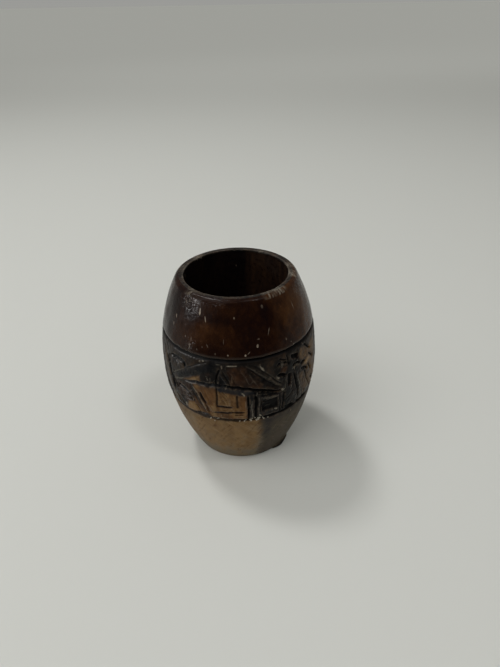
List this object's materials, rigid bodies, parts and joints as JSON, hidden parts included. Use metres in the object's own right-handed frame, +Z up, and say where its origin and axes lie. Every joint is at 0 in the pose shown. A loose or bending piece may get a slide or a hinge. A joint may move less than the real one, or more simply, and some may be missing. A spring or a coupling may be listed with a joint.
{
  "type": "carved wooden barrel cup",
  "caption": "Barrel-shaped turned wooden cup without a handle, with a carved band between two V grooves and a glued-in base disc.",
  "frame": {"origin": "centre of the foot ring's flat face, on which the cup stands", "axes": "+Z up along the turning axis; -Y faces the side whose carving shows the hut"},
  "size_m": [0.0884, 0.0884, 0.11],
  "materials": {
    "stained_wood": "dark stained hardwood with paler streaks, lacquered above the carved band and worn satin below it, with blackened carving",
    "base_wood": "sanded and oiled hardwood, satin",
    "dried_glue": "dried amber wood glue"
  },
  "bodies": {
    "root": {"barrel_body": "stained_wood", "base_disc": "base_wood", "glue_bead": "dried_glue"}
  },
  "joints": []
}
